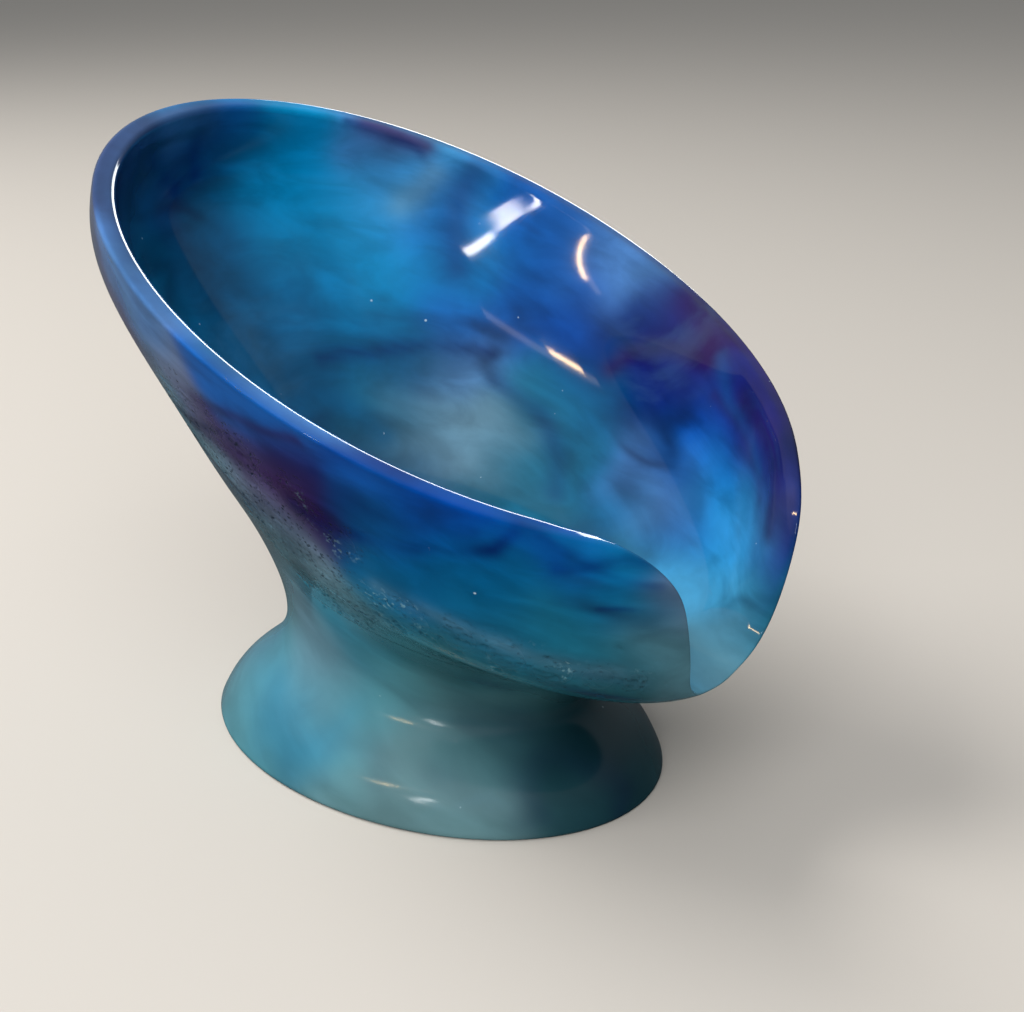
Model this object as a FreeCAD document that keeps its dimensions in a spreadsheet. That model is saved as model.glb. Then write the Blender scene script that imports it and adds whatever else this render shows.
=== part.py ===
import FreeCAD, Part

import os

import Sketcher

# Slotted pedestal bowl, cast in resin. Millimetres, +Z up.
# The origin is the centre of the flat sole. +X points to the low front lip, and XZ is the mirror plane.
#
# Every cross-section is an oval in a plane that is square to XZ. Its long axis runs from a point on
# the back of the outline to a point on the front, and its half width lies along Y.

SIZES = {
    # outer form, from the sole up
    "sole_back_x": -49.4,
    "sole_back_z": 0.0,
    "sole_front_x": 49.4,
    "sole_front_z": 0.0,
    "sole_half_width": 35.7,
    "side_back_x": -42.4,
    "side_back_z": 9.1,
    "side_front_x": 42.4,
    "side_front_z": 8.5,
    "side_half_width": 31.7,
    "neck_back_x": -33.4,
    "neck_back_z": 20.2,
    "neck_front_x": 34.4,
    "neck_front_z": 17.4,
    "neck_half_width": 22.4,
    "waist_back_x": -37.5,
    "waist_back_z": 43.1,
    "waist_front_x": 50.5,
    "waist_front_z": 28.7,
    "waist_half_width": 28.9,
    "belly_back_x": -47.0,
    "belly_back_z": 67.0,
    "belly_front_x": 63.9,
    "belly_front_z": 30.4,
    "belly_half_width": 38.6,
    "flank_back_x": -56.8,
    "flank_back_z": 85.1,
    "flank_front_x": 69.8,
    "flank_front_z": 39.9,
    "flank_half_width": 45.1,
    "brow_back_x": -65.1,
    "brow_back_z": 101.9,
    "brow_front_x": 72.1,
    "brow_front_z": 54.1,
    "brow_half_width": 50.8,
    "rim_back_x": -57.5,
    "rim_back_z": 116.8,
    "rim_front_x": 69.1,
    "rim_front_z": 61.1,
    "rim_half_width": 56.2,
    # floor of the bowl's hollow, below the part that follows the outer form
    "floor_back_x": -14.0,
    "floor_back_z": 46.5,
    "floor_front_x": 40.0,
    "floor_front_z": 35.4,
    "floor_half_width": 14.5,
    "basin_back_x": -25.0,
    "basin_back_z": 51.0,
    "basin_front_x": 50.0,
    "basin_front_z": 34.2,
    "basin_half_width": 22.5,
    "low_back_x": -34.0,
    "low_back_z": 60.0,
    "low_front_x": 58.0,
    "low_front_z": 34.6,
    "low_half_width": 30.0,
    # wall thickness, measured in the plane of the section
    "wall_flank": 5.2,
    "wall_brow": 4.6,
    "wall_rim": 4.0,
    "clear_above_rim": 3.0,
    # U-shaped front opening, in a plane that crosses XZ at opening_start_x and leans forward by
    # opening_fall, in degrees. It is cut square to that plane, so its sill falls towards the front.
    "opening_start_x": 36.0,
    "opening_fall": 12.0,
    "sill_up": 36.3,
    "sill_half_width": 10.5,
    "sill_corner_radius": 10.0,
    "shoulder_half_width": 20.5,
    "shoulder_up": 66.3,
    "shoulder_radius": 20.0,
    "flare_half_width": 33.0,
    "flare_up": 70.2,
    "opening_top_up": 130.0,
    # a disc wide enough to trim away everything on one side of the bond plane
    "trim_radius": 200.0,
    # small radius around the sole
    "sole_edge_radius": 1.2,
}

OUTER_FORM = ("sole", "side", "neck", "waist", "belly", "flank", "brow", "rim")
HOLLOW_LOW = ("floor", "basin", "low")
HOLLOW_HIGH = ("flank", "brow", "rim")
BOND = "waist"
TINY = 1e-3


def make_sheet(doc):
    sheet = doc.addObject("Spreadsheet::Sheet", "sizes")
    for row, (name, value) in enumerate(SIZES.items(), start=1):
        sheet.set(f"A{row}", name)
        sheet.set(f"B{row}", str(value))
        sheet.setAlias(f"B{row}", name)
    doc.recompute()
    return sheet


def origin_plane(body, role):
    return next(plane for plane in body.Origin.OriginFeatures if plane.Role == role)


def attach(sketch, body, role, turn_axis):
    sketch.AttachmentSupport = [(origin_plane(body, role), "")]
    sketch.MapMode = "FlatFace"
    turn = FreeCAD.Rotation(FreeCAD.Vector(*turn_axis), 1.0)
    sketch.AttachmentOffset = FreeCAD.Placement(FreeCAD.Vector(), turn)


def bind(sketch, kind, expression, *geometry):
    """Add a dimension to the sketch and bind it to the sheet."""
    index = sketch.addConstraint(Sketcher.Constraint(kind, *geometry))
    sketch.setExpression(f"Constraints[{index}]", expression)


def section_sketch(body, name, section, lift="0"):
    """An empty sketch in the plane of a section, centred on it, with local x towards the front."""
    sketch = body.newObject("Sketcher::SketchObject", name)
    attach(sketch, body, "XY_Plane", turn_axis=(0, 1, 0))
    run = f"(sizes.{section}_front_x - sizes.{section}_back_x)"
    drop = f"(sizes.{section}_back_z - sizes.{section}_front_z)"
    tilt = f"atan2({drop}; {run})"
    middle_x = f"(sizes.{section}_back_x + sizes.{section}_front_x) / 2"
    middle_z = f"(sizes.{section}_back_z + sizes.{section}_front_z) / 2"
    sketch.setExpression("AttachmentOffset.Base.x", f"{middle_x} + {lift} * sin({tilt})")
    sketch.setExpression("AttachmentOffset.Base.z", f"{middle_z} + {lift} * cos({tilt})")
    sketch.setExpression("AttachmentOffset.Rotation.Angle", tilt)
    return sketch, f"sqrt(pow({run}; 2) + pow({drop}; 2))"


def oval_sketch(body, name, section, inset="0", lift="0"):
    """The oval of one section, drawn in from the outer form by inset and raised by lift."""
    sketch, length = section_sketch(body, name, section, lift)
    long_end = FreeCAD.Vector(40, 0, 0)
    side_point = FreeCAD.Vector(0, 20, 0)
    oval = sketch.addGeometry(Part.Ellipse(long_end, side_point, FreeCAD.Vector()), False)
    sketch.exposeInternalGeometry(oval)
    long_axis = oval + 1
    short_axis = oval + 2
    sketch.addConstraint(Sketcher.Constraint("Coincident", oval, 3, -1, 1))
    sketch.addConstraint(Sketcher.Constraint("Horizontal", long_axis))
    bind(sketch, "Distance", f"{length} - 2 * {inset}", long_axis, 80.0)
    bind(sketch, "Distance", f"2 * (sizes.{section}_half_width - {inset})", short_axis, 40.0)
    return sketch


def add_loft(body, name, kind, sketches):
    loft = body.newObject(kind, name)
    loft.Profile = sketches[0]
    loft.Sections = sketches[1:]
    loft.Ruled = False
    body.Document.recompute()
    return loft


def add_outer_form(body):
    prefix = body.Name
    sketches = [oval_sketch(body, f"{prefix}_{section}", section) for section in OUTER_FORM]
    return add_loft(body, f"{prefix}_outer_form", "PartDesign::AdditiveLoft", sketches)


def cut(body, name, sketch, reversed_cut):
    """Pocket through everything on one side of the sketch, and make sure it removed material."""
    before = body.Shape.Volume
    pocket = body.newObject("PartDesign::Pocket", name)
    pocket.Profile = sketch
    pocket.Type = "ThroughAll"
    pocket.Reversed = reversed_cut
    body.Document.recompute()
    if not TINY < before - pocket.Shape.Volume < before - TINY:
        raise RuntimeError(f"{name} removed {before - pocket.Shape.Volume:.3f} of {before:.1f} mm3")
    return pocket


def trim_at_bond(body, keep_above):
    """Keep only what lies above or below the tilted plane where the two pours meet."""
    sketch, _ = section_sketch(body, f"{body.Name}_bond_plane", BOND)
    disc = sketch.addGeometry(Part.Circle(FreeCAD.Vector(), FreeCAD.Vector(0, 0, 1), 100.0), False)
    sketch.addConstraint(Sketcher.Constraint("Coincident", disc, 3, -1, 1))
    bind(sketch, "Radius", "sizes.trim_radius", disc, 100.0)
    return cut(body, f"{body.Name}_trim", sketch, reversed_cut=not keep_above)


def hollow_bowl(body):
    """Cut the hollow: three ovals of its own, then ovals that follow the outer form inside the wall."""
    sketches = [oval_sketch(body, f"hollow_{section}", section) for section in HOLLOW_LOW]
    for section in HOLLOW_HIGH:
        sketches.append(oval_sketch(body, f"hollow_{section}", section, inset=f"sizes.wall_{section}"))
    above = oval_sketch(body, "hollow_above", "rim", inset="sizes.wall_rim", lift="sizes.clear_above_rim")
    sketches.append(above)
    return add_loft(body, "hollow", "PartDesign::SubtractiveLoft", sketches)


def opening_sketch(body):
    """The U of the front opening: a flat sill with round corners, leaning sides and wide round shoulders."""
    sketch = body.newObject("Sketcher::SketchObject", "front_opening_outline")
    attach(sketch, body, "YZ_Plane", turn_axis=(1, 0, 0))
    sketch.setExpression("AttachmentOffset.Base.z", "sizes.opening_start_x")
    sketch.setExpression("AttachmentOffset.Rotation.Angle", "sizes.opening_fall")
    corners = (
        (-1, "sill_half_width", "sill_up"),
        (1, "sill_half_width", "sill_up"),
        (1, "shoulder_half_width", "shoulder_up"),
        (1, "flare_half_width", "flare_up"),
        (1, "flare_half_width", "opening_top_up"),
        (-1, "flare_half_width", "opening_top_up"),
        (-1, "flare_half_width", "flare_up"),
        (-1, "shoulder_half_width", "shoulder_up"),
    )
    rounded = {0: "sill_corner_radius", 1: "sill_corner_radius", 2: "shoulder_radius", 7: "shoulder_radius"}
    points = [FreeCAD.Vector(side * SIZES[across], SIZES[up], 0) for side, across, up in corners]
    count = len(corners)
    for index in range(count):
        sketch.addGeometry(Part.LineSegment(points[index], points[(index + 1) % count]), False)
    for index, (side, across, up) in enumerate(corners):
        sketch.addConstraint(Sketcher.Constraint("Coincident", (index - 1) % count, 2, index, 1))
        ends = (-1, 1, index, 1) if side > 0 else (index, 1, -1, 1)
        bind(sketch, "DistanceX", f"sizes.{across}", *ends, SIZES[across])
        bind(sketch, "DistanceY", f"sizes.{up}", -1, 1, index, 1, SIZES[up])
    body.Document.recompute()
    for corner, radius in rounded.items():
        sketch.fillet(corner, 1, SIZES[radius], True, True)
        arc = max(index for index, item in enumerate(sketch.Geometry) if isinstance(item, Part.ArcOfCircle))
        bind(sketch, "Radius", f"sizes.{radius}", arc, SIZES[radius])
    return sketch


def soften_sole(body):
    """Round the edge where the side of the foot meets the flat sole."""
    edges = []
    for number, edge in enumerate(body.Shape.Edges, start=1):
        if max(vertex.Z for vertex in edge.Vertexes) < TINY and len(edge.Vertexes) == 1:
            edges.append(f"Edge{number}")
    if len(edges) != 1:
        raise RuntimeError(f"expected one sole edge, found {len(edges)}")
    fillet = body.newObject("PartDesign::Fillet", "sole_edge")
    fillet.Base = (body.getObject(f"{body.Name}_trim"), edges)
    fillet.setExpression("Radius", "sizes.sole_edge_radius")
    body.Document.recompute()


def build_pedestal(doc):
    body = doc.addObject("PartDesign::Body", "pedestal")
    add_outer_form(body)
    trim_at_bond(body, keep_above=False)
    soften_sole(body)
    return body


def build_bowl(doc):
    body = doc.addObject("PartDesign::Body", "bowl")
    add_outer_form(body)
    trim_at_bond(body, keep_above=True)
    hollow_bowl(body)
    cut(body, "front_opening", opening_sketch(body), reversed_cut=True)
    return body


def check_document(doc, bodies):
    for item in doc.Objects:
        if "Invalid" in item.State or "Error" in item.State:
            raise RuntimeError(f"{item.Name} failed: {item.State}")
    for body in bodies:
        shape = body.Shape
        if shape.isNull() or not shape.isValid() or len(shape.Solids) != 1:
            raise RuntimeError(f"{body.Label} is not one valid solid")


def main():
    doc = FreeCAD.newDocument("slotted_pedestal_bowl")
    make_sheet(doc)
    bodies = [build_pedestal(doc), build_bowl(doc)]
    doc.recompute()
    check_document(doc, bodies)
    os.makedirs("parts", exist_ok=True)
    for body in bodies:
        body.Shape.exportStep(f"parts/{body.Label}.step")
        print(f"{body.Label}: {body.Shape.Volume:.0f} mm3")


main()
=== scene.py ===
import math

import bpy
import numpy as np
from mathutils import Matrix, Vector, noise


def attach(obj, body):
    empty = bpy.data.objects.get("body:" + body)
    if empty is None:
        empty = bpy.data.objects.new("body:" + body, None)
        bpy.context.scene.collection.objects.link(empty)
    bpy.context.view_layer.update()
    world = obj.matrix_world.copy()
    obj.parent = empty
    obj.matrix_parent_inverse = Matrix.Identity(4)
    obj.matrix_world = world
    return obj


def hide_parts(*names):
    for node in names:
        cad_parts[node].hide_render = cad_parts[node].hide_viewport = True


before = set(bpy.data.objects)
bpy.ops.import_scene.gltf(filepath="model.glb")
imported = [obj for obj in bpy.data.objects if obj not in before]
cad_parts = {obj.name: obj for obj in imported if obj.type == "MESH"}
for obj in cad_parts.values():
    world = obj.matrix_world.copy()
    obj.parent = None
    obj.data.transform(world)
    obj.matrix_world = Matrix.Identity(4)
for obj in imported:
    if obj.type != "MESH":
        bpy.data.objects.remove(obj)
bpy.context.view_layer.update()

# Slotted pedestal bowl, cast in resin. Metres, +Z up, +X towards the low front lip.
# Both pieces are meshed on one surface. Station 0 is the sole, 3 the join and 7 the rim, and the
# angle runs round each oval section from 0 at the front, with the -Y side between 180 and 360.

MM = 0.001

# back x, back z, front x, front z, half width, in millimetres
OUTER_ROWS = np.array([
    (-49.4, 0.0, 49.4, 0.0, 35.7),
    (-42.4, 9.1, 42.4, 8.5, 31.7),
    (-33.4, 20.2, 34.4, 17.4, 22.4),
    (-37.5, 43.1, 50.5, 28.7, 28.9),
    (-47.0, 67.0, 63.9, 30.4, 38.6),
    (-56.8, 85.1, 69.8, 39.9, 45.1),
    (-65.1, 101.9, 72.1, 54.1, 50.8),
    (-57.5, 116.8, 69.1, 61.1, 56.2),
])
OUTER_STATIONS = np.arange(8.0)
JOIN = 3.0
RIM = 7.0
HOLLOW_ROWS = np.array([
    (-14.0, 46.5, 40.0, 35.4, 14.5),
    (-25.0, 51.0, 50.0, 34.2, 22.5),
    (-34.0, 60.0, 58.0, 34.6, 30.0),
])
WALLS = (5.2, 4.6, 4.0)
HOLLOW_STATIONS = np.array([0.0, 2.0, 3.0, 4.0, 5.0, 6.0, 7.0])
POLE_DROP = 0.4

# The front opening is a U cut square to a plane that leans forward. Its points are a distance from
# the mirror plane and a height up the plane.
OPENING_START_X = 36.0
OPENING_FALL = math.radians(12.0)
SILL = (10.5, 36.3)
SILL_RADIUS = 10.0
SHOULDER = (20.5, 66.3)
SHOULDER_RADIUS = 20.0
FLARE = (33.0, 70.2)

COLUMNS = 600
OUTSIDE_ROWS = 170
INSIDE_ROWS = 110
FOOT_ROWS = 110
CORNER_ROWS = 10
FACE_ROWS = 8
# radii of the wall's outer and inner edge, along the rim and in the opening
OUTER_EDGE = (1.2, 0.7)
INNER_EDGE = (1.3, 5.0)
SOLE_RADIUS = 1.4


def spline(stations, rows, flat_start=False, odd_start=()):
    """A cubic spline through the rows: natural at both ends, level at the start if flat_start."""
    count = len(stations)
    gap = np.diff(stations)
    matrix = np.zeros((count, count))
    right = np.zeros((count, rows.shape[1]))
    matrix[0, 0] = 1.0
    matrix[-1, -1] = 1.0
    for i in range(1, count - 1):
        matrix[i, i - 1] = gap[i - 1]
        matrix[i, i] = 2.0 * (gap[i - 1] + gap[i])
        matrix[i, i + 1] = gap[i]
        right[i] = 6.0 * ((rows[i + 1] - rows[i]) / gap[i] - (rows[i] - rows[i - 1]) / gap[i - 1])
    bend = np.linalg.solve(matrix, right)
    if flat_start:
        level = matrix.copy()
        level[0, 0] = 2.0 * gap[0]
        level[0, 1] = gap[0]
        level_right = right.copy()
        level_right[0] = 6.0 * (rows[1] - rows[0]) / gap[0]
        flat = np.linalg.solve(level, level_right)
        even = [column for column in range(rows.shape[1]) if column not in odd_start]
        bend[:, even] = flat[:, even]

    def value(at):
        at = np.clip(at, stations[0], stations[-1])
        i = np.clip(np.searchsorted(stations, at, side="right") - 1, 0, count - 2)
        h = gap[i][..., None]
        a = (stations[i + 1] - at)[..., None] / h
        b = (at - stations[i])[..., None] / h
        curve = (a ** 3 - a) * bend[i] + (b ** 3 - b) * bend[i + 1]
        return a * rows[i] + b * rows[i + 1] + curve * h ** 2 / 6.0

    return value


def centred(rows):
    """Rows as centre x, centre z, half axis x, half axis z, half width."""
    back_x, back_z, front_x, front_z, half = rows.T
    return np.stack([
        (back_x + front_x) / 2,
        (back_z + front_z) / 2,
        (front_x - back_x) / 2,
        (front_z - back_z) / 2,
        half,
    ], axis=1)


def hollow_rows():
    """The sections of the hollow, from a point on its floor to the rim."""
    rows = list(centred(HOLLOW_ROWS))
    for row, wall in zip(centred(OUTER_ROWS)[5:], WALLS):
        length = math.hypot(row[2], row[3])
        keep = (length - wall) / length
        rows.append(np.array([row[0], row[1], row[2] * keep, row[3] * keep, row[4] - wall]))
    pole = np.array([rows[0][0], rows[0][1] - POLE_DROP, 0.0, 0.0, 0.0])
    return np.array([pole] + rows)


outer_spline = spline(OUTER_STATIONS, centred(OUTER_ROWS))
inner_spline = spline(HOLLOW_STATIONS, hollow_rows(), flat_start=True, odd_start=(2, 3, 4))


def on_surface(shape, angle, station):
    row = shape(np.asarray(station, float))
    c, s = np.cos(angle), np.sin(angle)
    return np.stack([row[..., 0] + row[..., 2] * c, row[..., 4] * s, row[..., 1] + row[..., 3] * c], axis=-1)


def outer(angle, station):
    return on_surface(outer_spline, angle, station)


def inner(angle, station):
    return on_surface(inner_spline, angle, station)


def rounded_corner(before, corner, after, radius, steps=24):
    """The corner of a polyline replaced by an arc of the given radius."""
    before, corner, after = (np.array(p, float) for p in (before, corner, after))
    one = (before - corner) / np.linalg.norm(before - corner)
    two = (after - corner) / np.linalg.norm(after - corner)
    half = math.acos(float(np.clip(one @ two, -1, 1))) / 2
    reach = radius / math.tan(half)
    middle = corner + (one + two) / np.linalg.norm(one + two) * radius / math.sin(half)
    start, end = corner + one * reach - middle, corner + two * reach - middle
    turn = math.atan2(start[0] * end[1] - start[1] * end[0], float(start @ end))
    arc = []
    for k in range(steps + 1):
        a = turn * k / steps
        arc.append(middle + np.array([
            start[0] * math.cos(a) - start[1] * math.sin(a),
            start[0] * math.sin(a) + start[1] * math.cos(a),
        ]))
    return arc


def opening_outline():
    """Half of the U of the opening, from the middle of its sill, and the indices of its two corners."""
    middle = (0.0, SILL[1])
    sill_arc = rounded_corner(middle, SILL, SHOULDER, SILL_RADIUS)
    shoulder_arc = rounded_corner(SILL, SHOULDER, FLARE, SHOULDER_RADIUS)
    points = np.array([middle] + sill_arc + shoulder_arc + [FLARE, (FLARE[0] + 1.0, 200.0)])
    return points, (1 + len(sill_arc) // 2, 1 + len(sill_arc) + len(shoulder_arc) // 2)


OUTLINE, CORNERS = opening_outline()


def up_the_plane(points):
    """Height up the leaning plane of the opening."""
    return (points[..., 0] - OPENING_START_X) * math.sin(OPENING_FALL) + points[..., 2] * math.cos(OPENING_FALL)


def before_the_plane(points):
    """Distance in front of the leaning plane of the opening."""
    return (points[..., 0] - OPENING_START_X) * math.cos(OPENING_FALL) - points[..., 2] * math.sin(OPENING_FALL)


def edge_station(angles, shape):
    """For each angle, the station where the wall ends: the edge of the opening, or the rim."""
    stations = np.linspace(JOIN, RIM, 1600)
    result = np.full(len(angles), RIM)
    for k, angle in enumerate(angles):
        line = shape(np.full(stations.shape, angle), stations)
        floor = np.interp(np.abs(line[:, 1]), OUTLINE[:, 0], OUTLINE[:, 1])
        inside = np.minimum(up_the_plane(line) - floor, before_the_plane(line))
        if inside.max() > 0:
            i = max(int(np.argmax(inside > 0)), 1)
            part = np.clip(inside[i - 1] / (inside[i - 1] - inside[i]), 0.0, 1.0)
            result[k] = stations[i - 1] + part * (stations[i] - stations[i - 1])
    return result


def along(points):
    steps = np.linalg.norm(np.diff(points, axis=0), axis=1)
    return np.concatenate([[0.0], np.cumsum(steps)])


def landmarks(points):
    """Indices on half an edge curve: front, sill corner, shoulder, back."""
    half = points[:len(points) // 2 + 1]
    marks = [0]
    for y, up in OUTLINE[list(CORNERS)]:
        marks.append(int(np.argmin(np.hypot(half[:, 1] - y, up_the_plane(half) - up))))
    marks.append(len(half) - 1)
    return marks


def matched(points):
    """A parameter along an edge curve that is 0, 1, 2, 3 at its landmarks and runs back to 6."""
    length = along(points)
    marks = landmarks(points)
    half = np.interp(length[:len(points) // 2 + 1], length[marks], np.arange(4.0))
    return np.concatenate([half, 6.0 - half[-2::-1]])


def smooth_ring(values, passes):
    """Smooth values that run round a ring; the mean slope of the ring is kept."""
    for _ in range(passes):
        values = (np.roll(values, 1) + 2.0 * values + np.roll(values, -1)) / 4.0
    return values


def edge_columns():
    """The mesh columns along the wall's outer and inner edge, and how far each is in the opening, from 0 to 1."""
    fine = np.linspace(0.0, 2 * np.pi, 4801)
    out_station = edge_station(fine, outer)
    in_station = edge_station(fine, inner)
    out_points = outer(fine, out_station)
    out_matched = matched(out_points)
    in_matched = matched(inner(fine, in_station))
    length = along(out_points)
    target = np.linspace(0.0, length[-1], COLUMNS + 1)[:-1]
    at = np.interp(target, length, out_matched)
    turn = target / length[-1] * 2 * np.pi
    edges = []
    for known, station in ((out_matched, out_station), (in_matched, in_station)):
        angle = turn + smooth_ring(np.interp(at, known, fine) - turn, 6)
        edges.append((angle, smooth_ring(np.interp(at, known, station), 6)))
    opening = np.clip((2.25 - np.minimum(at, 6.0 - at)) / 0.5, 0.0, 1.0)
    opening = opening * opening * (3.0 - 2.0 * opening)
    return edges[0], edges[1], opening


def ring_columns(shape, station):
    """Evenly spaced angles round one station."""
    fine = np.linspace(0.0, 2 * np.pi, 1441)
    length = along(shape(fine, np.full(fine.shape, station)))
    target = np.linspace(0.0, length[-1], COLUMNS + 1)[:-1]
    return np.interp(target, length, fine)


def inward(angle, station, shape):
    """Change of angle and station per millimetre, square to an edge curve and away from the edge."""
    tiny = 1e-4
    here = shape(angle, station)
    by_angle = (shape(angle + tiny, station) - here) / tiny
    by_station = (here - shape(angle, station - tiny)) / tiny
    forward = np.roll(here, -1, axis=0) - np.roll(here, 1, axis=0)
    normal = np.cross(by_angle, by_station)
    across = np.cross(forward, normal)
    across /= np.linalg.norm(across, axis=1)[:, None]
    across *= np.where((across * by_station).sum(1) > 0, -1.0, 1.0)[:, None]
    e = (by_angle ** 2).sum(1)
    f = (by_angle * by_station).sum(1)
    g = (by_station ** 2).sum(1)
    u = (across * by_angle).sum(1)
    v = (across * by_station).sum(1)
    size = e * g - f * f
    return (u * g - v * f) / size, (v * e - u * f) / size


def blend(start, end, part):
    return start + (end - start) * part


def corner_rows(start, corner, end, count):
    """Rows of points that round a corner, without the first and last."""
    rows = []
    for k in range(1, count):
        part = k / count
        rows.append(blend(blend(start, corner, part), blend(corner, end, part), part))
    return rows


def arch_rows(start, start_way, end_way, end, count):
    """Rows of points on a cubic arch from start to end, without the first and last."""
    rows = []
    for k in range(1, count):
        part = k / count
        one, two = blend(start, start_way, part), blend(end_way, end, part)
        middle = blend(start_way, end_way, part)
        rows.append(blend(blend(one, middle, part), blend(middle, two, part), part))
    return rows


def moved(edge, direction, distance):
    return edge[0] + direction[0] * distance, edge[1] + direction[1] * distance


def bowl_rows():
    """Rings of points from the join up the outside, over the edge and down to the floor of the hollow.

    Each ring has a side, from 0 on the outside to 1 on the inside."""
    out_edge, in_edge, opening = edge_columns()
    join = (ring_columns(outer, JOIN), np.full(COLUMNS, JOIN))
    pole = (ring_columns(outer, JOIN), np.zeros(COLUMNS))
    out_way = inward(*out_edge, outer)
    in_way = inward(*in_edge, inner)
    out_radius = blend(OUTER_EDGE[0], OUTER_EDGE[1], opening)
    in_radius = blend(INNER_EDGE[0], INNER_EDGE[1], opening)
    out_point = outer(*out_edge)
    in_point = inner(*in_edge)
    width = np.linalg.norm(in_point - out_point, axis=1)
    out_face = blend(out_point, in_point, (np.minimum(out_radius, 0.25 * width) / width)[:, None])
    in_face = blend(in_point, out_point, (np.minimum(in_radius, 0.7 * width) / width)[:, None])

    rows = []
    band = moved(out_edge, out_way, out_radius)
    for k in range(OUTSIDE_ROWS + 1):
        part = k / OUTSIDE_ROWS
        rows.append((outer(blend(join[0], band[0], part), blend(join[1], band[1], part)), 0.0))
    corner = corner_rows(rows[-1][0], out_point, out_face, CORNER_ROWS)
    face = [blend(out_face, in_face, part) for part in np.linspace(0.0, 1.0, FACE_ROWS)]
    band = moved(in_edge, in_way, in_radius)
    band_point = inner(*band)
    towards_edge = inner(*moved(in_edge, in_way, in_radius * 0.98)) - band_point
    towards_edge *= (0.6 * in_radius / np.linalg.norm(towards_edge, axis=1))[:, None]
    turn = arch_rows(in_face, blend(in_face, in_point, 0.6), band_point + towards_edge, band_point, CORNER_ROWS)
    over = corner + face + turn
    rows += [(row, (k + 1) / (len(over) + 1)) for k, row in enumerate(over)]
    for k in range(INSIDE_ROWS):
        part = k / INSIDE_ROWS
        rows.append((inner(blend(band[0], pole[0], part), blend(band[1], pole[1], part)), 1.0))
    return rows


def pedestal_rows():
    """Rings of points from the sole up to the join."""
    sole = (ring_columns(outer, 0.0), np.zeros(COLUMNS))
    join = (ring_columns(outer, JOIN), np.full(COLUMNS, JOIN))
    edge = outer(*sole)
    little = 0.05
    rise = SOLE_RADIUS * little / np.linalg.norm(outer(sole[0], sole[1] + little) - edge, axis=1)
    centre = edge.mean(axis=0)
    under = blend(edge, centre, SOLE_RADIUS / np.linalg.norm(edge - centre, axis=1)[:, None])
    rows = [blend(centre, under, part) for part in (0.5, 0.9, 1.0)]
    rows += corner_rows(under, edge, outer(sole[0], rise), CORNER_ROWS)
    for k in range(FOOT_ROWS + 1):
        part = k / FOOT_ROWS
        rows.append(outer(blend(sole[0], join[0], part), blend(rise, join[1], part)))
    return [(row, 0.0) for row in rows]


# ---- build

JOIN_TILT = math.radians(9.3)

# Colours as 8-bit sRGB.
COLOURS = {
    "ink": (0, 24, 86),
    "indigo": (24, 24, 92),
    "plum": (58, 36, 84),
    "wine": (34, 6, 58),
    "dusk": (36, 62, 104),
    "deep": (6, 72, 110),
    "royal": (14, 80, 154),
    "ultramarine": (0, 60, 144),
    "cerulean": (0, 116, 164),
    "azure": (14, 118, 176),
    "sky": (56, 132, 182),
    # On the outer wall near the rim the haze colour is a painted sheen.
    "haze_and_sheen": (62, 106, 160),
    "cyan": (62, 140, 178),
    "teal": (0, 82, 126),
    "sea": (22, 96, 120),
    "milk": (98, 134, 152),
    "grey_teal": (72, 112, 126),
    "slate": (98, 112, 138),
    "pine": (24, 72, 82),
    "foot": (72, 128, 140),
    "foot_grey": (88, 122, 128),
    "foot_blue": (34, 110, 140),
    "foot_mid": (58, 98, 106),
    # The two darkest foot colours are darker resin with painted shade, for the foot's side away from the lights.
    "foot_dark_and_shade": (30, 66, 74),
    "abyss_and_shade": (6, 36, 46),
}

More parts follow.
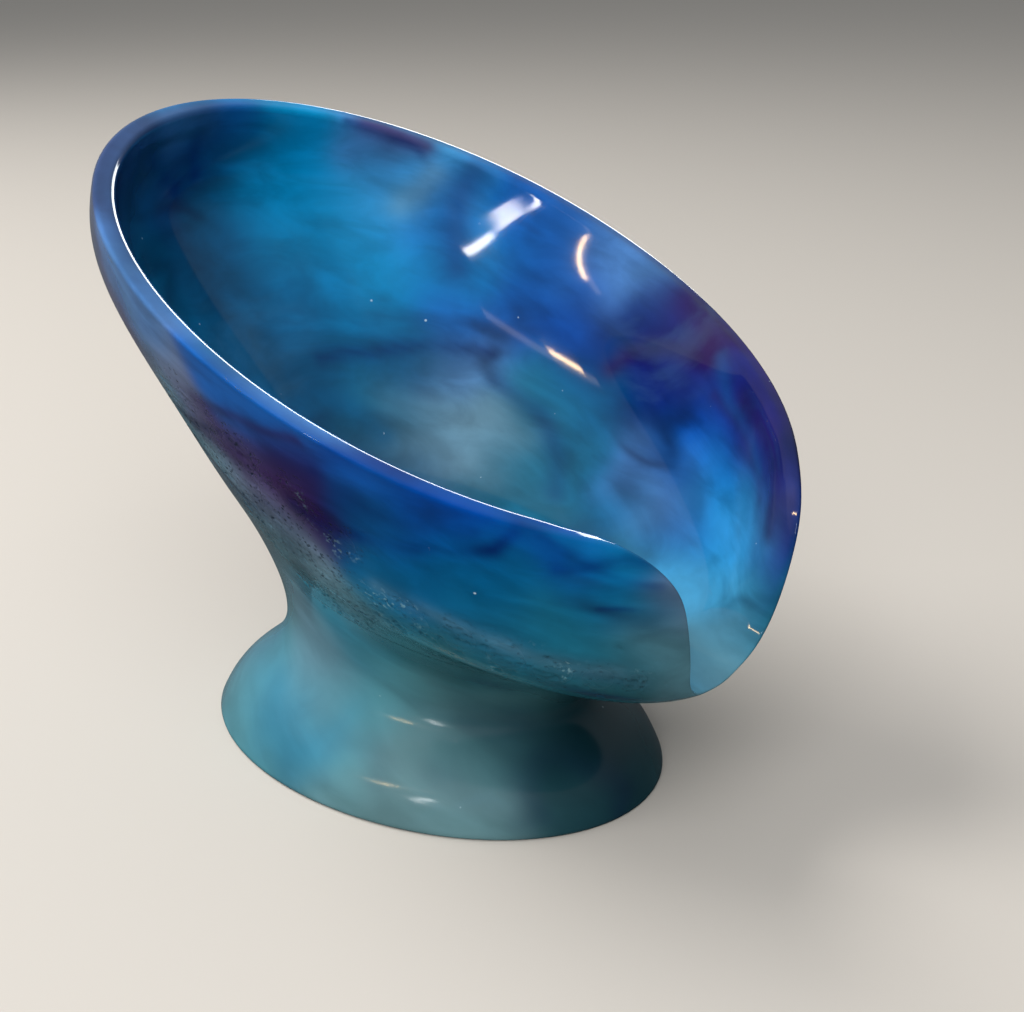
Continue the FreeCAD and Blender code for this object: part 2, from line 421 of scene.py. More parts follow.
# Clouds of colour on each side of the wall: angle in degrees, station, size in millimetres, colour.
INSIDE_CLOUDS = (
    (160, 6.95, 7, "cerulean"), (174, 6.95, 7, "royal"), (188, 6.95, 7, "haze_and_sheen"), (202, 6.95, 7, "dusk"),
    (196, 6.4, 8, "dusk"), (184, 6.4, 8, "ink"), (194, 6.0, 9, "ink"), (172, 6.6, 9, "deep"), (152, 6.5, 11, "cerulean"),
    (138, 6.9, 6, "haze_and_sheen"), (136, 6.7, 5, "plum"), (126, 6.7, 8, "sky"), (172, 5.8, 11, "deep"), (152, 5.8, 12, "cerulean"),
    (134, 6.1, 9, "sky"), (121, 6.2, 8, "royal"), (205, 5.6, 10, "deep"), (178, 5.2, 11, "deep"), (156, 5.3, 12, "cerulean"),
    (136, 5.5, 10, "cerulean"), (118, 5.7, 9, "azure"), (101, 6.4, 9, "royal"), (92, 6.6, 7, "haze_and_sheen"), (190, 4.9, 11, "deep"),
    (163, 4.7, 9, "azure"), (142, 4.9, 9, "cerulean"), (118, 5.1, 9, "royal"), (100, 5.6, 9, "royal"), (84, 6.4, 8, "haze_and_sheen"),
    (95, 5.4, 8, "ultramarine"), (84, 5.6, 8, "ink"), (76, 6.1, 7, "ink"), (68, 6.2, 6, "wine"), (62, 6.4, 7, "wine"), (70, 6.6, 6, "wine"), (80, 5.8, 6, "ink"),
    (225, 5.2, 14, "deep"), (245, 5.4, 14, "deep"), (265, 5.5, 14, "deep"), (285, 5.4, 14, "royal"), (305, 5.4, 12, "teal"),
    (170, 4.3, 11, "deep"), (146, 4.3, 10, "teal"), (131, 4.5, 8, "deep"), (118, 4.6, 8, "haze_and_sheen"), (180, 3.8, 14, "deep"),
    (148, 3.8, 10, "sea"), (130, 3.75, 9, "milk"), (122, 3.4, 9, "milk"), (114, 3.7, 6, "milk"), (102, 4.5, 8, "sea"),
    (78, 5.1, 8, "ink"), (76, 5.5, 6, "indigo"), (60, 5.8, 8, "ultramarine"), (52, 6.4, 8, "indigo"), (42, 6.8, 8, "indigo"), (50, 6.1, 6, "indigo"), (38, 5.9, 6, "indigo"),
    (36, 6.2, 8, "indigo"), (98, 3.7, 9, "sea"), (100, 2.6, 10, "sea"), (150, 2.4, 12, "deep"), (200, 2.6, 16, "deep"),
    (230, 3.4, 16, "sea"), (260, 3.6, 16, "deep"), (290, 3.8, 14, "deep"), (80, 3.8, 8, "teal"), (90, 4.3, 8, "deep"), (90, 4.8, 8, "deep"), (76, 4.5, 6, "haze_and_sheen"),
    (72, 4.2, 7, "haze_and_sheen"), (66, 4.9, 6, "royal"), (56, 5.3, 7, "royal"), (50, 5.1, 7, "azure"), (40, 5.2, 8, "sky"),
    (60, 4.4, 8, "haze_and_sheen"), (42, 4.5, 8, "azure"), (54, 4.3, 7, "royal"), (28, 5.8, 6, "wine"), (24, 5.2, 6, "indigo"), (18, 4.9, 6, "ink"),
    (30, 4.4, 7, "cyan"), (20, 4.5, 7, "sea"), (12, 3.8, 7, "grey_teal"), (36, 3.6, 9, "cyan"), (0, 3.4, 8, "grey_teal"),
    (60, 3.2, 10, "sea"), (80, 2.6, 10, "deep"), (0, 2.6, 10, "sea"), (320, 4.2, 12, "sea"), (335, 5.0, 10, "cyan"),
    (258, 6.9, 8, "haze_and_sheen"), (282, 6.9, 8, "haze_and_sheen"), (296, 6.8, 7, "indigo"), (308, 6.8, 8, "ultramarine"), (240, 6.7, 10, "dusk"), (215, 6.7, 9, "dusk"), (320, 6.8, 8, "ultramarine"), (331, 6.8, 6, "cerulean"),
)
OUTSIDE_CLOUDS = (
    # The three haze clouds near the rim, from 243 to 254 degrees, are a painted sheen on the outer wall.
    (205, 6.6, 11, "dusk"), (230, 6.7, 10, "dusk"), (243, 6.9, 6, "haze_and_sheen"), (249, 6.8, 6, "haze_and_sheen"), (254, 6.5, 6, "haze_and_sheen"),
    (259, 6.1, 6, "slate"), (260, 5.7, 6, "plum"), (267, 6.6, 6, "royal"), (273, 6.6, 6, "royal"), (266, 5.6, 5, "plum"),
    (281, 6.8, 6, "royal"), (281, 6.2, 6, "indigo"), (270, 5.3, 7, "plum"), (276, 5.6, 6, "plum"), (277, 5.3, 5, "wine"),
    (273, 6.2, 6, "royal"), (292, 6.8, 6, "ultramarine"), (291, 6.2, 6, "royal"), (283, 5.4, 6, "ink"), (297, 6.6, 7, "ultramarine"),
    (300, 6.2, 7, "ultramarine"), (308, 6.6, 7, "ultramarine"), (293, 5.6, 6, "deep"), (300, 5.8, 6, "ultramarine"), (315, 6.6, 5, "azure"),
    (318, 6.3, 6, "ink"), (327, 6.8, 6, "azure"), (324, 6.4, 5, "ultramarine"), (333, 6.5, 5, "azure"), (310, 5.9, 7, "teal"),
    (304, 5.6, 7, "teal"), (296, 5.2, 7, "teal"), (286, 5.0, 7, "teal"), (331, 6.0, 6, "teal"), (338, 5.9, 4, "slate"),
    (322, 5.9, 7, "teal"), (327, 5.6, 6, "teal"), (338, 5.4, 4, "slate"), (332, 5.5, 5, "sea"), (339, 5.0, 6, "grey_teal"), (331, 5.0, 6, "grey_teal"),
    (318, 5.4, 7, "sea"), (309, 5.2, 7, "teal"), (324, 4.9, 6, "sea"), (314, 4.8, 6, "sea"), (305, 4.7, 6, "sea"),
    (268, 4.3, 8, "milk"), (277, 4.2, 7, "grey_teal"), (262, 3.9, 8, "milk"), (283, 4.5, 7, "sea"), (290, 4.5, 6, "sea"), (257, 4.9, 8, "milk"), (268, 4.8, 7, "slate"),
    (300, 4.2, 8, "pine"), (320, 4.1, 9, "pine"), (280, 3.4, 9, "pine"), (290, 3.3, 9, "pine"), (262, 3.6, 10, "grey_teal"),
    (240, 4.6, 14, "grey_teal"), (215, 4.4, 15, "sea"), (190, 4.2, 16, "teal"), (165, 4.2, 16, "sea"), (140, 4.4, 15, "teal"),
    (235, 5.7, 13, "plum"), (210, 5.5, 14, "indigo"), (185, 5.6, 14, "royal"), (160, 5.5, 14, "plum"), (135, 5.7, 14, "royal"),
    (180, 6.6, 13, "azure"), (155, 6.7, 12, "cerulean"), (130, 6.7, 12, "dusk"), (105, 6.6, 12, "royal"), (80, 6.7, 11, "indigo"),
    (110, 5.6, 14, "azure"), (85, 5.5, 13, "indigo"), (60, 5.8, 12, "plum"), (60, 6.8, 10, "indigo"), (40, 6.4, 9, "indigo"),
    (110, 4.5, 14, "grey_teal"), (80, 4.5, 14, "sea"), (55, 4.8, 12, "teal"), (30, 5.2, 9, "ink"), (20, 4.6, 8, "sea"),
    (0, 4.0, 10, "grey_teal"), (350, 4.0, 9, "grey_teal"), (40, 4.0, 12, "pine"), (80, 3.4, 12, "pine"), (340, 4.4, 7, "grey_teal"),
    (120, 3.4, 14, "sea"), (160, 3.4, 14, "grey_teal"), (200, 3.4, 14, "sea"), (235, 3.5, 12, "grey_teal"), (310, 3.4, 10, "pine"),
)
# On the foot the darkest clouds, round the front from 334 to 45 degrees, are darker resin with painted shade.
FOOT_CLOUDS = (
    (226, 1.7, 9, "foot"), (228, 0.8, 9, "foot"), (238, 1.2, 8, "foot_blue"), (248, 1.3, 8, "foot_blue"), (242, 0.5, 9, "foot"),
    (246, 2.3, 9, "milk"),
    (257, 1.8, 8, "foot"), (266, 1.3, 7, "foot_blue"), (266, 2.7, 8, "sea"), (280, 1.3, 9, "foot"), (280, 0.5, 8, "foot_grey"),
    (284, 2.2, 8, "foot"), (290, 2.9, 7, "pine"), (300, 2.1, 8, "foot_mid"), (300, 0.4, 9, "foot_grey"), (300, 1.3, 8, "foot_grey"),
    (316, 2.2, 9, "foot_mid"), (320, 1.3, 8, "foot_mid"), (334, 1.6, 8, "foot_dark_and_shade"), (317, 0.3, 9, "foot_grey"), (350, 1.6, 10, "abyss_and_shade"), (344, 0.4, 8, "foot_dark_and_shade"), (357, 0.5, 9, "abyss_and_shade"),
    (8, 1.0, 10, "abyss_and_shade"), (24, 0.6, 11, "foot_dark_and_shade"), (45, 1.2, 14, "foot_dark_and_shade"), (75, 0.9, 14, "foot_grey"), (105, 1.3, 14, "foot"),
    (135, 0.9, 14, "foot_blue"), (165, 1.3, 14, "foot"), (195, 0.9, 14, "foot_grey"), (210, 1.4, 10, "foot_blue"), (180, 2.4, 14, "sea"),
    (120, 2.5, 14, "foot_grey"), (70, 2.4, 14, "sea"), (30, 2.4, 12, "pine"), (345, 2.7, 10, "pine"), (215, 2.6, 10, "foot_grey"),
)
# The cloudy band of trapped bubbles above the join: angle, station, size.
BUBBLE_BAND = (
    (258, 5.5, 8), (263, 5.0, 9), (267, 4.5, 9), (273, 4.2, 9), (280, 4.1, 8), (286, 4.3, 6), (292, 4.5, 5), (300, 4.6, 5),
    (308, 4.6, 5), (316, 4.6, 5), (324, 4.65, 4), (331, 4.7, 3), (272, 3.4, 7), (262, 3.8, 8), (268, 5.5, 6), (276, 5.3, 5), (284, 5.2, 4),
    (250, 5.0, 8), (235, 4.7, 8), (218, 4.5, 8), (200, 4.3, 8), (180, 4.2, 8), (160, 4.3, 8), (140, 4.4, 8), (118, 4.5, 8),
    (96, 4.5, 7), (75, 4.6, 7), (55, 4.7, 6), (38, 4.7, 4),
)
# Threads of colour drawn through the clouds: colour, strength, width in millimetres, then the course
# as angles and stations.
INSIDE_THREADS = (
    ("ink", 0.55, 1.8, ((162, 4.35), (146, 4.40), (132, 4.55), (120, 4.70), (112, 4.75))),
    ("teal", 0.45, 2.5, ((180, 4.3), (169, 4.05), (160, 3.85), (150, 3.4))),
    ("ink", 0.50, 2.5, ((112, 4.5), (101, 4.4), (96, 4.0), (95, 3.5))),
    ("ink", 0.65, 2.2, ((198, 6.6), (192, 6.3), (187, 5.95))),
    ("ink", 0.60, 1.6, ((182, 6.65), (181, 6.4), (180, 6.1))),
    ("plum", 0.75, 2.4, ((142, 7.0), (137, 6.95), (131, 6.9))),
    ("ink", 0.55, 1.0, ((146, 6.95), (138, 6.85), (132, 6.82), (128, 6.65))),
    ("milk", 0.45, 3.0, ((130, 6.1), (127, 6.3), (126, 6.55))),
    ("indigo", 0.45, 3.6, ((120, 6.8), (119, 6.2), (118, 5.6))),
    ("wine", 0.70, 2.2, ((66, 6.75), (62, 6.4), (68, 6.1), (78, 5.7), (84, 5.3))),
    ("wine", 0.55, 2.0, ((50, 6.4), (44, 6.3), (36, 6.4), (30, 6.0), (27, 5.5))),
    ("wine", 0.40, 1.4, ((58, 6.0), (49, 6.0), (42, 5.8), (36, 5.6))),
    ("azure", 0.12, 1.6, ((60, 6.6), (54, 6.1), (46, 6.05), (40, 5.8))),
)
OUTSIDE_THREADS = (
    ("ink", 0.85, 1.5, ((276, 5.35), (284, 5.4), (290, 5.5), (297, 5.62), (303, 5.78), (309, 6.05), (313, 6.5))),
    ("wine", 0.60, 2.6, ((256, 5.3), (264, 5.4), (271, 5.5), (278, 5.45), (284, 5.5))),
    ("wine", 0.55, 1.6, ((262, 5.9), (270, 6.1), (277, 6.3), (283, 6.6))),
    ("ink", 0.50, 1.2, ((284, 6.1), (291, 5.85), (300, 5.95), (306, 6.2))),
    ("ink", 0.60, 0.6, ((324, 5.60), (330, 5.62), (340, 5.66))),
    ("ink", 0.50, 0.5, ((326, 5.40), (332, 5.42), (341, 5.46))),
    ("ink", 0.50, 1.2, ((318, 6.1), (325, 6.35), (331, 6.6), (336, 6.6))),
    ("ink", 0.45, 1.0, ((314, 6.8), (321, 6.5), (329, 6.1), (335, 6.0))),
    ("milk", 0.25, 1.6, ((288, 4.9), (297, 4.92), (308, 4.86), (318, 4.80), (326, 4.75))),
    ("ultramarine", 0.50, 2.5, ((300, 6.8), (310, 6.7), (318, 6.3))),
    ("plum", 0.55, 2.5, ((200, 5.8), (215, 6.0), (232, 5.8), (246, 5.6))),
    ("ink", 0.60, 2.0, ((110, 5.4), (128, 5.7), (150, 5.5), (170, 5.8), (190, 5.6))),
    ("wine", 0.50, 2.0, ((60, 6.4), (78, 6.0), (96, 6.2), (112, 6.4))),
    ("milk", 0.40, 2.2, ((40, 5.0), (70, 5.1), (100, 5.0), (130, 5.1), (160, 4.9))),
)
PIT_TRIES = 16000
INSIDE_GAIN = 1.3
OUTSIDE_GAIN = 1.12


def linear(colour):
    return [(c / 255 / 12.92) if c <= 10 else ((c / 255 + 0.055) / 1.055) ** 2.4 for c in colour]


def warped(points):
    """Points in millimetres pushed about by two sizes of noise, so that clouds of colour swirl."""
    result = np.empty_like(points)
    for k, point in enumerate(points):
        place = Vector(point)
        push = noise.noise_vector(place / 26.0) * 7.0 + noise.noise_vector(place / 9.0) * 3.0
        result[k] = place + push
    return result


def clouded(points, clouds, shape):
    """The colour at each point, from the clouds around it."""
    total = np.full(len(points), 1e-9)
    colour = np.zeros((len(points), 3))
    for angle, station, size, name in clouds:
        centre = shape(np.radians(angle), station)
        weight = np.exp(-((points - centre) ** 2).sum(axis=1) / (size * size))
        total += weight
        colour += weight[:, None] * np.array(linear(COLOURS[name]))
    return colour / total[:, None]


def threaded(colour, points, threads, shape):
    """The colours with threads drawn through them."""
    for name, strength, width, course in threads:
        angles, stations = zip(*course)
        part = np.linspace(0.0, len(course) - 1.0, 12 * len(course))
        marks = np.arange(len(course))
        line = shape(np.radians(np.interp(part, marks, angles)), np.interp(part, marks, stations))
        nearest = np.full(len(points), 1e9)
        for place in line:
            nearest = np.minimum(nearest, ((points - place) ** 2).sum(axis=1))
        weight = strength * np.exp(-nearest / (width * width))
        colour = blend(colour, np.array(linear(COLOURS[name])), weight[:, None])
    return colour


def band_strength(points):
    """How strongly each point lies in the band of bubbles, from 0 to 1."""
    strength = np.zeros(len(points))
    for angle, station, size in BUBBLE_BAND:
        centre = outer(np.radians(angle), station)
        strength = np.maximum(strength, np.exp(-((points - centre) ** 2).sum(axis=1) / (size * size)))
    return strength


def make_pits(random):
    """Places, normals, radii and depths of the pits in the band of bubbles."""
    angles = random.uniform(0, 2 * np.pi, PIT_TRIES)
    stations = random.uniform(2.4, 5.9, PIT_TRIES)
    centres = outer(angles, stations)
    keep = random.uniform(0, 1, PIT_TRIES) < band_strength(centres) ** 1.5
    e = 1e-3
    turn = outer(angles + e, stations) - outer(angles - e, stations)
    rise = outer(angles, stations + e) - outer(angles, stations - e)
    normals = np.cross(turn, rise)
    normals /= np.linalg.norm(normals, axis=1)[:, None]
    radii = 0.42 + 0.40 * random.random(PIT_TRIES) ** 3
    depths = radii * random.uniform(0.15, 0.65, PIT_TRIES)
    return centres[keep], normals[keep], radii[keep], depths[keep]


def dented(points, sides, pits):
    """The same points with the outside ones pushed in by the pits."""
    outside = np.flatnonzero(sides == 0.0)
    place = points[outside]
    order = np.argsort(place[:, 0])
    sorted_x = place[order, 0]
    push = np.zeros_like(place)
    for centre, normal, radius, depth in zip(*pits):
        low, high = np.searchsorted(sorted_x, (centre[0] - radius, centre[0] + radius))
        near = order[low:high]
        gap = np.linalg.norm(place[near] - centre, axis=1) / radius
        inside = gap < 1.0
        push[near[inside]] -= normal * depth * ((1.0 - gap[inside] ** 2) ** 2)[:, None]
    points = points.copy()
    points[outside] += push
    return points


def mesh_object(name, rows, start_point, end_point, outside, inside, pits):
    """A closed mesh from rings of points, with a fan to a point at each end, coloured by its clouds."""
    points = np.concatenate([row for row, _ in rows] + [[start_point], [end_point]])
    sides = np.repeat([side for _, side in rows], COLUMNS)
    sides = np.concatenate([sides, [rows[0][1], rows[-1][1]]])
    spread = warped(points)
    wavy = blend(points, spread, 0.35)
    colour = threaded(clouded(spread, outside, outer), wavy, OUTSIDE_THREADS, outer) * OUTSIDE_GAIN
    if inside:
        hollow = threaded(clouded(spread, inside, inner), wavy, INSIDE_THREADS, inner) * INSIDE_GAIN
        colour = blend(colour, hollow, np.clip((sides - 0.15) / 0.5, 0.0, 1.0)[:, None])
    bubbles = band_strength(points) * (sides == 0.0)
    points = dented(points, sides, pits)
    ring = np.arange(COLUMNS)
    after = np.roll(ring, -1)
    faces = []
    for k in range(len(rows) - 1):
        low = k * COLUMNS
        high = low + COLUMNS
        faces += np.stack([low + ring, low + after, high + after, high + ring], axis=1).tolist()
    faces += np.stack([after, ring, np.full(COLUMNS, len(points) - 2)], axis=1).tolist()
    top = (len(rows) - 1) * COLUMNS
    faces += np.stack([top + ring, top + after, np.full(COLUMNS, len(points) - 1)], axis=1).tolist()
    mesh = bpy.data.meshes.new(name)
    mesh.from_pydata((points * MM).tolist(), [], faces)
    mesh.polygons.foreach_set("use_smooth", np.ones(len(faces), dtype=bool))
    shades = mesh.color_attributes.new("cloud", "FLOAT_COLOR", "POINT")
    shades.data.foreach_set("color", np.concatenate([colour, np.ones((len(colour), 1))], axis=1).ravel())
    band = mesh.attributes.new("bubbles", "FLOAT", "POINT")
    band.data.foreach_set("value", bubbles.astype(np.float32))
    mesh.set_sharp_from_angle(angle=math.radians(60.0))
    mesh.update()
    piece = bpy.data.objects.new(name, mesh)
    bpy.context.scene.collection.objects.link(piece)
    return piece


class Nodes:
    """Short calls that add nodes to a material."""

    def __init__(self, name):
        self.material = bpy.data.materials.new(name)
        self.material.use_nodes = True
        self.tree = self.material.node_tree
        self.shader = self.tree.nodes["Principled BSDF"]

    def link(self, source, target):
        self.tree.links.new(source, target)

    def put(self, value, socket):
        if isinstance(value, bpy.types.NodeSocket):
            self.link(value, socket)
        else:
            socket.default_value = value

    def attribute(self, name, output):
        node = self.tree.nodes.new("ShaderNodeAttribute")
        node.attribute_name = name
        return node.outputs[output]

    def coordinates(self):
        return self.tree.nodes.new("ShaderNodeTexCoord").outputs["Object"]

    def distance_along(self, direction):
        """Distance from the middle of the sole in the given direction, in metres."""
        distance = self.tree.nodes.new("ShaderNodeVectorMath")
        distance.operation = "DOT_PRODUCT"
        distance.inputs[1].default_value = direction
        self.link(self.coordinates(), distance.inputs[0])
        return distance.outputs["Value"]

    def along_wall(self):
        """Coordinates in which features come out long along the tilted wall and short up it."""
        turn = self.tree.nodes.new("ShaderNodeVectorRotate")
        turn.rotation_type = "Y_AXIS"
        turn.inputs["Angle"].default_value = math.radians(-18.0)
        self.link(self.coordinates(), turn.inputs["Vector"])
        stretch = self.tree.nodes.new("ShaderNodeVectorMath")
        stretch.operation = "MULTIPLY"
        stretch.inputs[1].default_value = (1.0, 1.0, 3.0)
        self.link(turn.outputs["Vector"], stretch.inputs[0])
        return stretch.outputs[0]

    def noise(self, scale, detail, distortion=0.0, where=None):
        node = self.tree.nodes.new("ShaderNodeTexNoise")
        self.link(where or self.coordinates(), node.inputs["Vector"])
        node.inputs["Scale"].default_value = scale
        node.inputs["Detail"].default_value = detail
        node.inputs["Distortion"].default_value = distortion
        return node.outputs["Fac"]

    def cells(self, scale, output):
        node = self.tree.nodes.new("ShaderNodeTexVoronoi")
        self.link(self.coordinates(), node.inputs["Vector"])
        node.inputs["Scale"].default_value = scale
        return node.outputs[output]

    def math(self, operation, *values):
        node = self.tree.nodes.new("ShaderNodeMath")
        node.operation = operation
        for value, socket in zip(values, node.inputs):
            self.put(value, socket)
        return node.outputs[0]

    def scaled(self, colour, factor):
        node = self.tree.nodes.new("ShaderNodeVectorMath")
        node.operation = "SCALE"
        self.put(colour, node.inputs[0])
        self.put(factor, node.inputs["Scale"])
        return node.outputs[0]

    def ramp(self, value, low, high, to_low=0.0, to_high=1.0):
        node = self.tree.nodes.new("ShaderNodeMapRange")
        node.interpolation_type = "SMOOTHSTEP"
        self.put(value, node.inputs["Value"])
        node.inputs["From Min"].default_value = low
        node.inputs["From Max"].default_value = high
        node.inputs["To Min"].default_value = to_low
        node.inputs["To Max"].default_value = to_high
        return node.outputs["Result"]

    def mix(self, part, start, end, kind="MIX"):
        node = self.tree.nodes.new("ShaderNodeMix")
        node.data_type = "RGBA"
        node.blend_type = kind
        self.put(part, node.inputs["Factor"])
        self.put(start, node.inputs[6])
        self.put(end, node.inputs[7])
        return node.outputs[2]


def resin(name):
    """Glossy cast resin: the clouds of colour, dark wisps, fine specks, and bubbles near the join, with painted shade
    in their pits.
    """
    nodes = Nodes(name)
    colour = nodes.attribute("cloud", "Color")
    bubbles = nodes.attribute("bubbles", "Fac")
    along_wall = nodes.along_wall()
    above_sole = nodes.distance_along((math.sin(JOIN_TILT), 0.0, math.cos(JOIN_TILT)))
    front = nodes.ramp(nodes.distance_along((1.0, 0.0, 0.0)), 0.005, 0.035)
    swirl = nodes.ramp(above_sole, 0.024, 0.042, 0.4, 1.0)
    gloss = nodes.ramp(above_sole, 0.024, 0.042, 0.15, 0.06)

    for source in (nodes.noise(48.0, 4.0, 0.3), nodes.noise(60.0, 5.0, 0.6, where=along_wall)):
        change = nodes.math("MULTIPLY", nodes.ramp(source, 0.30, 0.70, -0.20, 0.20), swirl)
        colour = nodes.scaled(colour, nodes.math("ADD", change, 1.0))

    line = nodes.math("ABSOLUTE", nodes.math("SUBTRACT", nodes.noise(24.0, 1.5, 0.4, where=along_wall), 0.5))
    line = nodes.ramp(line, 0.0, 0.075, 0.7, 0.0)
    place = nodes.ramp(nodes.noise(30.0, 2.0), 0.48, 0.70)
    wisp = nodes.math("MULTIPLY", nodes.math("MULTIPLY", line, place), swirl)
    colour = nodes.mix(wisp, colour, (0.004, 0.012, 0.05, 1.0))

    milk = nodes.math("ABSOLUTE", nodes.math("SUBTRACT", nodes.noise(30.0, 6.0, 0.5), 0.48))
    milk = nodes.ramp(milk, 0.0, 0.08, 1.0, 0.0)
    place = nodes.ramp(nodes.noise(22.0, 2.0, 0.5), 0.50, 0.72)
    milk = nodes.math("MULTIPLY", nodes.math("MULTIPLY", milk, place), 0.09)
    colour = nodes.mix(milk, colour, (0.16, 0.40, 0.58, 1.0))

    speck = nodes.ramp(nodes.cells(260.0, "Distance"), 0.04, 0.09, 1.0, 0.0)
    place = nodes.ramp(nodes.noise(420.0, 1.0), 0.62, 0.66)
    speck = nodes.math("MULTIPLY", nodes.math("MULTIPLY", speck, place), 0.7)
    colour = nodes.mix(speck, colour, (0.6, 0.8, 0.9, 1.0))

    band = nodes.ramp(bubbles, 0.10, 0.60)
    # Pits in the band are bumped in below and painted near black, as shade inside the dents.
    shaded_pit = nodes.ramp(nodes.cells(900.0, "Distance"), 0.18, 0.34, 1.0, 0.0)
    place = nodes.ramp(nodes.noise(240.0, 2.0), 0.40, 0.56)
    fine = nodes.ramp(nodes.cells(1400.0, "Distance"), 0.16, 0.30, 1.0, 0.0)
    fine = nodes.math("MULTIPLY", fine, nodes.ramp(nodes.noise(330.0, 2.0), 0.50, 0.60))
    shaded_pit = nodes.math("MAXIMUM", nodes.math("MULTIPLY", shaded_pit, place), nodes.math("MULTIPLY", fine, 0.7))
    shaded_pit = nodes.math("MULTIPLY", nodes.math("MULTIPLY", shaded_pit, band), nodes.math("SUBTRACT", 1.0, nodes.math("MULTIPLY", front, 0.7)))
    colour = nodes.mix(nodes.math("MULTIPLY", shaded_pit, 0.85), colour, (0.005, 0.018, 0.04, 1.0))
    froth = nodes.ramp(nodes.noise(1100.0, 2.0), 0.54, 0.66)
    place = nodes.ramp(nodes.noise(150.0, 3.0), 0.52, 0.64)
    froth = nodes.math("MULTIPLY", nodes.math("MULTIPLY", froth, place), nodes.math("MULTIPLY", band, front))
    colour = nodes.mix(nodes.math("MULTIPLY", froth, 0.5), colour, (0.30, 0.55, 0.62, 1.0))

    nodes.link(colour, nodes.shader.inputs["Base Color"])
    rough = nodes.math("MULTIPLY", nodes.ramp(bubbles, 0.15, 0.8), 0.24)
    nodes.link(nodes.math("ADD", gloss, rough), nodes.shader.inputs["Roughness"])
    nodes.shader.inputs["IOR"].default_value = 1.42

    height = nodes.math("SUBTRACT", nodes.math("MULTIPLY", froth, 0.4), shaded_pit)
    ripple = nodes.math("MULTIPLY", nodes.noise(55.0, 1.0), 0.05)
    bump = nodes.tree.nodes.new("ShaderNodeBump")
    bump.inputs["Strength"].default_value = 0.6
    bump.inputs["Distance"].default_value = 0.0004
    nodes.link(nodes.math("ADD", height, ripple), bump.inputs["Height"])
    nodes.link(bump.outputs["Normal"], nodes.shader.inputs["Normal"])
    return nodes.material


def add_camera():
    data = bpy.data.cameras.new("camera")
    data.sensor_width = 36.0
    data.lens = CAMERA_LENS
    camera = bpy.data.objects.new("camera", data)
    camera.location = CAMERA_PLACE
    camera.rotation_euler = (math.radians(90.0 - CAMERA_DOWN), 0.0, math.radians(CAMERA_HEADING))
    bpy.context.scene.collection.objects.link(camera)
    bpy.context.scene.camera = camera


def seen_from_camera(right, away, up):
    """A direction in the row frame, given as right of, away from and above the camera's own heading."""
    heading = math.radians(CAMERA_HEADING)
    x = right * math.cos(heading) - away * math.sin(heading)
    y = right * math.sin(heading) + away * math.cos(heading)
    return Vector((x, y, up))


def add_light(name, direction, distance, target, size, power, colour, turn=0.0):
    """An area light that faces the target from the given direction, seen from the camera."""
    data = bpy.data.lights.new(name, "AREA")
    data.shape = "RECTANGLE"
    data.size, data.size_y = size
    data.energy = power
    data.color = colour
    light = bpy.data.objects.new(name, data)
    way = seen_from_camera(*direction).normalized()
    light.location = Vector(target) + way * distance
    light.rotation_euler = (way.to_track_quat("Z", "Y") @ Matrix.Rotation(math.radians(turn), 3, "Z").to_quaternion()).to_euler()
    bpy.context.scene.collection.objects.link(light)
    return light


def add_world():
    """Pale light all round, brighter from behind and to the left of the object."""
    world = bpy.data.worlds.new("world")
    world.use_nodes = True
    tree = world.node_tree
    background = tree.nodes["Background"]
    background.inputs["Color"].default_value = (0.84, 0.88, 0.92, 1.0)
    coordinates = tree.nodes.new("ShaderNodeTexCoord")
    towards = tree.nodes.new("ShaderNodeVectorMath")
    towards.operation = "DOT_PRODUCT"
    towards.inputs[1].default_value = seen_from_camera(-0.35, 0.30, 0.90).normalized()
    tree.links.new(coordinates.outputs["Generated"], towards.inputs[0])
    strength = tree.nodes.new("ShaderNodeMapRange")
    strength.interpolation_type = "SMOOTHSTEP"
    strength.inputs["From Min"].default_value = -0.3
    strength.inputs["From Max"].default_value = 1.0
    strength.inputs["To Min"].default_value = 0.05
    strength.inputs["To Max"].default_value = 0.45
    tree.links.new(towards.outputs["Value"], strength.inputs["Value"])
    tree.links.new(strength.outputs["Result"], background.inputs["Strength"])
    return world


def add_floor():
    mesh = bpy.data.meshes.new("floor")
    half = 20.0
    mesh.from_pydata([(-half, -half, 0), (half, -half, 0), (half, half, 0), (-half, half, 0)], [], [(0, 1, 2, 3)])
    material = bpy.data.materials.new("floor_paint")
    material.use_nodes = True
    shader = material.node_tree.nodes["Principled BSDF"]
    shader.inputs["Base Color"].default_value = (0.62, 0.58, 0.53, 1.0)
    shader.inputs["Roughness"].default_value = 0.8
    shader.inputs["Specular IOR Level"].default_value = 0.0
    mesh.materials.append(material)
    floor = bpy.data.objects.new("floor", mesh)
    floor.visible_glossy = False
    bpy.context.scene.collection.objects.link(floor)


CAMERA_PLACE = (0.1737, -0.1964, 0.1529)
CAMERA_LENS = 52.73
CAMERA_DOWN = 22.1
CAMERA_HEADING = 38.1

scene = bpy.context.scene
scene.view_settings.view_transform = "Standard"

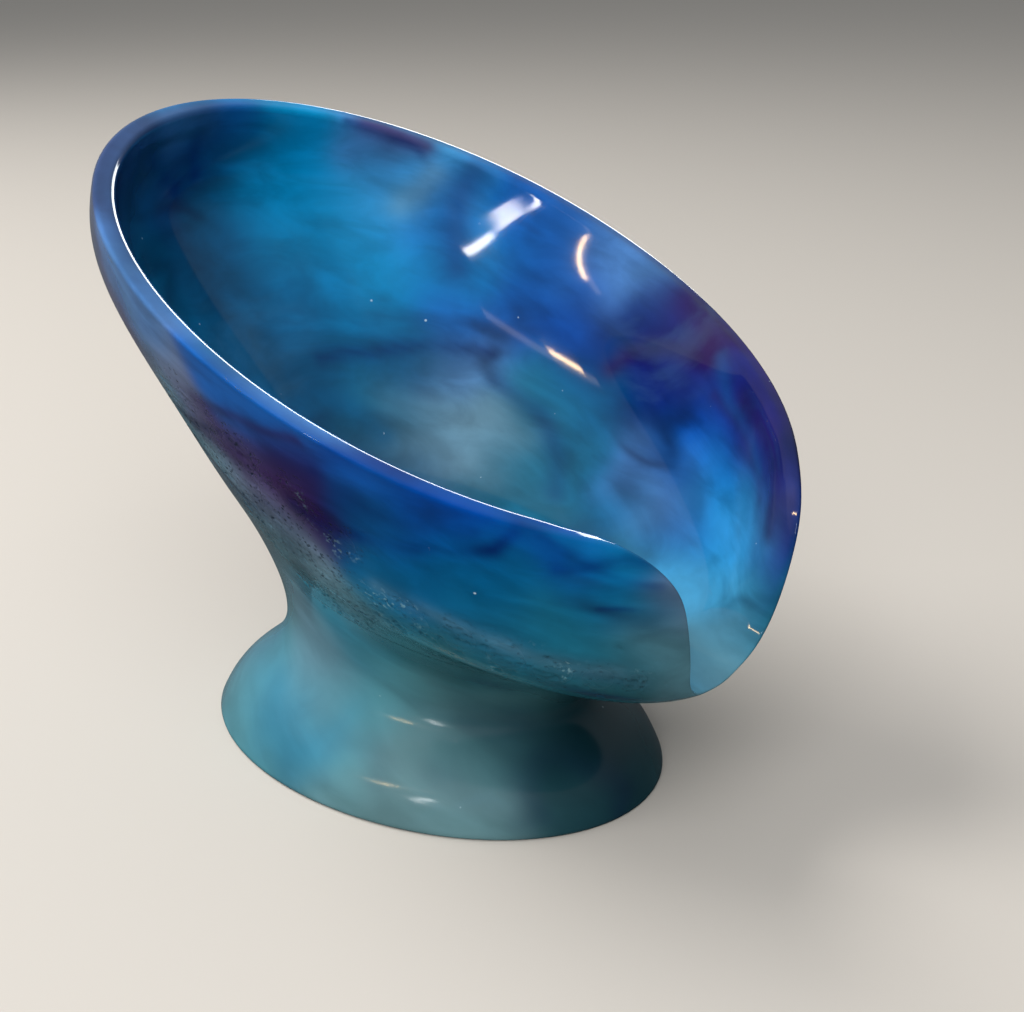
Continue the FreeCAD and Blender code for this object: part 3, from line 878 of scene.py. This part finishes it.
pits = make_pits(np.random.default_rng(7))
bowl_rings = bowl_rows()
foot_rings = pedestal_rows()
join_middle = bowl_rings[0][0].mean(axis=0)
sole_middle = foot_rings[0][0].mean(axis=0)
bowl = mesh_object("cast_bowl", bowl_rings, join_middle, inner(0.0, 0.0), OUTSIDE_CLOUDS + FOOT_CLOUDS, INSIDE_CLOUDS, pits)
foot = mesh_object("cast_pedestal", foot_rings, sole_middle, join_middle, OUTSIDE_CLOUDS + FOOT_CLOUDS, (), pits)
for piece, node, slot in ((bowl, "bowl", "blue_violet_resin"), (foot, "pedestal", "milky_teal_resin")):
    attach(piece, "root")
    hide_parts(node)
    piece.data.materials.append(resin(slot))

add_camera()
add_floor()
MIDDLE = (0.0, 0.0, 0.06)
for name, direction, size, power, colour in (
    ("key", (-0.75, 0.25, 0.85), (0.7, 0.7), 10.5, (1.0, 0.98, 0.95)),
    ("fill", (-0.05, -0.80, 0.70), (0.9, 0.9), 9.5, (1.0, 1.0, 1.0)),
):
    light = add_light(name, direction, 1.1, MIDDLE, size, power, colour)
    light.visible_glossy = False
for name, direction, size, turn, power, colour in (
    ("window", (0.18, 0.94, 0.30), (0.50, 0.56), 0, 8.0, (0.95, 1.0, 1.0)),
    ("warm_glow", (-0.558, -0.547, 0.624), (0.62, 0.03), 27, 0.14, (1.0, 0.85, 0.75)),
    ("warm_strip", (-0.640, -0.510, 0.575), (0.19, 0.018), 30, 0.65, (1.0, 0.70, 0.35)),
):
    light = add_light(name, direction, 1.2, MIDDLE, size, power, colour, turn)
    light.visible_diffuse = False
# Two narrow lights give the bent white streak on the far wall of the hollow. Each is placed across
# and up from one shared direction, with its width and length and its turn.
GLINT_TARGET = (-0.0184, 0.0466, 0.0950)
GLINT_DIRECTION = (-0.469, -0.833, 0.294)
GLINT_DISTANCE = 1.2
GLINT_BRIGHTNESS = 38.0
glint_way = seen_from_camera(*GLINT_DIRECTION).normalized()
glint_across = Vector((0.0, 0.0, 1.0)).cross(glint_way).normalized()
glint_up = glint_way.cross(glint_across)
for name, across, up, size, turn in (
    ("glint_bend", -0.055, 0.057, (0.020, 0.124), 38),
    ("glint_end", -0.019, 0.174, (0.038, 0.160), -43),
):
    target = Vector(GLINT_TARGET) + glint_across * across + glint_up * up
    power = GLINT_BRIGHTNESS * math.pi * size[0] * size[1]
    light = add_light(name, GLINT_DIRECTION, GLINT_DISTANCE, target, size, power, (1.0, 1.0, 1.0), turn)
    light.visible_diffuse = False
scene.world = add_world()
